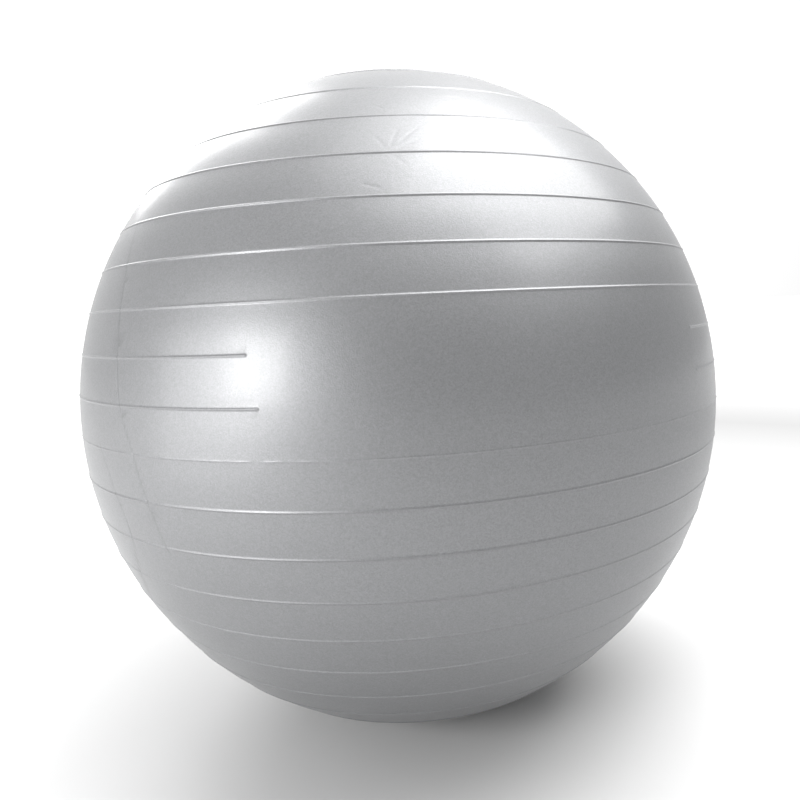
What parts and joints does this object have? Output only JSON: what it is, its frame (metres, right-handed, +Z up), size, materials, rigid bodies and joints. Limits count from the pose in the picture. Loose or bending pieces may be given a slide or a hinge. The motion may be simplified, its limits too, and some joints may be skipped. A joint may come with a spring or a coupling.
{
  "type": "exercise ball",
  "caption": "Inflated gym ball with raised rings round its axis, a plain panel in the rings, a moulded seam and a push-in valve plug at the back.",
  "frame": {"origin": "centre of the flat patch that the ball rests on", "axes": "+Z up through the poles, -Y towards the middle of the plain panel, +Y towards the valve"},
  "size_m": [0.6407, 0.6408, 0.6603],
  "materials": {
    "ball_vinyl": "soft PVC with silver pearl pigment, satin, with a fine moulded grain",
    "sleeve_vinyl": "soft PVC in the ball's silver grey, matt",
    "plug_plastic": "white moulded polyethylene"
  },
  "bodies": {
    "bladder": {"ball_shell": "ball_vinyl", "valve_sleeve": "sleeve_vinyl"},
    "plug": {"valve_plug": "plug_plastic"}
  },
  "joints": [
    {"name": "plug_pull", "type": "slide", "parent": "bladder", "child": "plug", "axis": [0, 0.9878, 0.1556], "range_m": [0, 0.03]}
  ]
}
